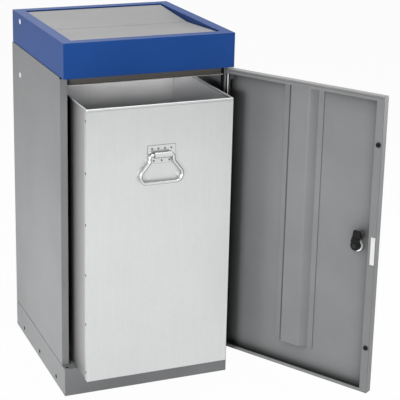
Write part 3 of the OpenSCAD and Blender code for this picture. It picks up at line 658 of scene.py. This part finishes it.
def return_shadow_strip():
    """A dark strip of painted shadow on the return behind the right stile."""
    x, y = HALF_W - STILE_W, STILE_FRONT
    end_gap = 4
    outline = [(x - 0.8, y + 0.8), (x, y + 0.4), (x, y + 15.4), (x - 0.8, y + 15.6),
               (x - 1.6, y + 14.8), (x - 1.6, y + 13.6), (x - 0.8, y + 12.8)]
    moulding("return_shadow_strip", outline, PLINTH_TOP + end_gap, BODY_TOP - end_gap, here, "cabinet",
             "black_rubber", "shadow_gap")


def flap_crease_shade():
    """Painted shade along the crease across the flap, drawn as a fine dark line."""
    flap_top = 807.0
    points = [(x, 0, flap_top) for x in (-169.5, -60, 60, 169.5)]
    ribbon("flap_crease_shade", points, 1.0, 0.12, "flap", "flap_grey", "paint_dark")


def fixing_holes():
    """Closed dark cups behind the plinth's holes, painted shade so that each shows dark, and a dark ring
    round each hole that widens that painted shade.
    """
    cup = [(5.6, 0.0), (5.6, 7.4), (5.2, 8.0), (0, 8.0), (4.9, 7.2), (4.9, 0.0), (5.6, 0.0)]
    ring = [(4.0, -0.1), (4.0, 0.1), (4.2, 0.25), (4.7, 0.25), (4.9, 0.1), (4.9, -0.1), (4.0, -0.1)]
    wall = 1.3
    for side, sign in SIDES:
        for spot, y in HOLES_Y:
            end = side + "_" + spot
            inner_face = here(sign * (HALF_W - wall), y, HOLE_Z)
            outer_face = here(sign * HALF_W, y, HOLE_Z)
            lathe("hole_shade_cup_" + end, cup, inner_face, (-sign, 0, 0), "cabinet", "black_plastic", 24,
                  "shadow_gap")
            lathe("hole_shade_ring_" + end, ring, outer_face, (sign, 0, 0), "cabinet", "black_rubber", 28)


def spare_plugs():
    """Plugs in the spare hinge holes on the left: domed heads in the paint's grey, with painted shade in the
    middle.
    """
    head = [(0, -3.0), (4.3, -3.0), (4.3, 0.0), (5.5, 0.05), (5.4, 0.5), (4.6, 0.9), (3.8, 1.0), (3.6, 0.8)]
    shade_disc = [(3.7, 0.85), (3.4, 0.3), (1.8, 0.1), (0, 0.1)]
    for level, z, sign in (("low", PLINTH_TOP, 1), ("high", BODY_TOP, -1)):
        centre = Vector((-PIN.x, PIN.y, z * MM))
        axis = (0, 0, sign)
        replaced = REDRAWN if level == "low" else ()
        lathe("spare_plug_" + level, head, centre, axis, "cabinet", "black_plastic", 28, "paint_grey",
              replaced)
        lathe("spare_plug_shade_" + level, shade_disc, centre, axis, "cabinet", "black_plastic", 24, "shadow_gap")


def corner_shades():
    """Small dark blocks of painted shade at the two side panels' upper front corners."""
    front_y, back_y = STILE_FRONT - 0.4, STILE_FRONT + 4.2
    low_z, high_z = BODY_TOP - 3.8, BODY_TOP - 0.4
    for side, sign in SIDES:
        outline = rectangle(sign * (HALF_W - 3.8), sign * (HALF_W + 0.15), front_y, back_y)
        moulding("corner_shade_" + side, outline, low_z, high_z, here, "cabinet", "black_plastic",
                 "shadow_gap")


blank_label()
hinge_shadow_strip()
handle_shadow_line()
lip_bend_shade()
return_shadow_strip()
flap_crease_shade()
fixing_holes()
spare_plugs()
corner_shades()


# lamps, in metres and watts

MIDDLE = Vector((0.0, -0.1, 0.45))


def around(azimuth, rise, distance):
    """A place seen from the cabinet: degrees to the left of its front, degrees up, metres away."""
    az, el = math.radians(azimuth), math.radians(rise)
    flat = distance * math.cos(el)
    return MIDDLE + Vector((-flat * math.sin(az), -flat * math.cos(az), distance * math.sin(el)))


def lamp(name, where, towards, size, power, height=None, cone=180):
    """An area lamp: size is its width, height too unless given, and cone its beam in degrees."""
    data = bpy.data.lights.new(name, "AREA")
    data.shape = "RECTANGLE" if height else "SQUARE"
    data.size = size
    data.energy = power
    data.spread = math.radians(cone)
    if height:
        data.size_y = height
    obj = bpy.data.objects.new(name, data)
    bpy.context.scene.collection.objects.link(obj)
    obj.location = where
    obj.rotation_euler = (Vector(towards) - Vector(where)).to_track_quat("-Z", "Y").to_euler()


lamp("key", around(43, 8, 2.5), MIDDLE, 0.7, 24)
lamp("edge", around(39, 6.5, 2.6), MIDDLE, 0.3, 12)
lamp("side", around(82, 8, 2.5), MIDDLE, 0.9, 3)
lamp("low_left", (-1.15, -0.12, 0.22), (-0.2, 0.0, 0.2), 0.4, 1.28, height=0.4, cone=74)
lamp("top", (-0.1, -0.5, 3.0), (0.0, -0.1, 0.8), 1.6, 32)
lamp("right", around(-75, 10, 2.4), MIDDLE, 1.0, 36)
lamp("back", around(180, 45, 2.6), MIDDLE, 1.0, 13)
lamp("under_hood", (0.055, -0.165, 0.733), (0.065, 0.062, 0.705), 0.3, 0.21, height=0.02, cone=52)


# world and floor: white to the camera and in reflections, plain to the light

def math_node(tree, operation, first, second):
    """A maths node's result, on two sockets or on a socket and a number."""
    node = tree.nodes.new("ShaderNodeMath")
    node.operation = operation
    tree.links.new(first, node.inputs[0])
    if isinstance(second, float):
        node.inputs[1].default_value = second
    else:
        tree.links.new(second, node.inputs[1])
    return node.outputs["Value"]


def seen_directly(tree):
    """One for camera, glossy and transmission rays, else nought."""
    path = tree.nodes.new("ShaderNodeLightPath")
    seen = math_node(tree, "MAXIMUM", path.outputs["Is Camera Ray"], path.outputs["Is Glossy Ray"])
    return math_node(tree, "MAXIMUM", seen, path.outputs["Is Transmission Ray"])


def plain_shader(tree, kind, level, strength=None):
    """A grey shader, with a strength if it glows."""
    node = tree.nodes.new(kind)
    node.inputs["Color"].default_value = (level, level, level, 1)
    if strength is not None:
        node.inputs["Strength"].default_value = strength
    return node.outputs[0]


def split_shader(tree, out_kind, share, lit, seen):
    """Shows one shader to the light and the other, by its share, to whatever sees it directly."""
    node = tree.nodes.new("ShaderNodeMixShader")
    tree.links.new(share, node.inputs["Fac"])
    tree.links.new(lit, node.inputs[1])
    tree.links.new(seen, node.inputs[2])
    link(tree, node, "Shader", tree.nodes.new(out_kind), "Surface")


def make_world():
    world = bpy.data.worlds.new("studio")
    bpy.context.scene.world = world
    world.use_nodes = True
    tree = world.node_tree
    tree.nodes.clear()
    soft = plain_shader(tree, "ShaderNodeBackground", 1.0, strength=0.1)
    white = plain_shader(tree, "ShaderNodeBackground", 1.0, strength=1.0)
    split_shader(tree, "ShaderNodeOutputWorld", seen_directly(tree), soft, white)


def make_floor():
    """A wide pale floor that keeps a little of the object's shadow."""
    reach = 14.0
    white_share = 0.965
    mat, tree = new_material("floor")
    pale = plain_shader(tree, "ShaderNodeBsdfDiffuse", 0.85)
    white = plain_shader(tree, "ShaderNodeEmission", 1.0, strength=1.0)
    share = math_node(tree, "MULTIPLY", seen_directly(tree), white_share)
    split_shader(tree, "ShaderNodeOutputMaterial", share, pale, white)
    mesh = bpy.data.meshes.new("floor")
    mesh.from_pydata([(x, y, 0) for x, y in rectangle(-reach, reach, -reach, reach)], [], [(0, 1, 2, 3)])
    mesh.materials.append(mat)
    floor = bpy.data.objects.new("floor", mesh)
    bpy.context.scene.collection.objects.link(floor)


def make_camera():
    """The camera as fitted to the photograph's edges, in pixels of its width and height."""
    photo_px = 400
    focal_px = 1263.0
    axis_px = (150.0, 130.0)
    azimuth = math.radians(20.88)
    fall = math.radians(15.81)
    roll = math.radians(0.71)
    where = Vector((-0.955, -2.712, 1.372))
    flat = math.cos(fall)
    forward = Vector((math.sin(azimuth) * flat, math.cos(azimuth) * flat, -math.sin(fall)))
    level = Vector((math.cos(azimuth), -math.sin(azimuth), 0))
    upward = level.cross(forward)
    right = level * math.cos(roll) + upward * math.sin(roll)
    up = upward * math.cos(roll) - level * math.sin(roll)
    data = bpy.data.cameras.new("camera")
    data.sensor_width = 36
    data.lens = focal_px * data.sensor_width / photo_px
    data.shift_x = 0.5 - axis_px[0] / photo_px
    data.shift_y = axis_px[1] / photo_px - 0.5
    data.dof.use_dof = False
    camera = bpy.data.objects.new("camera", data)
    bpy.context.scene.collection.objects.link(camera)
    turn = Matrix((right, up, -forward)).transposed().to_4x4()
    camera.matrix_world = Matrix.Translation(where) @ turn
    bpy.context.scene.camera = camera


make_world()
make_floor()
make_camera()
bpy.context.scene.view_settings.view_transform = "Standard"
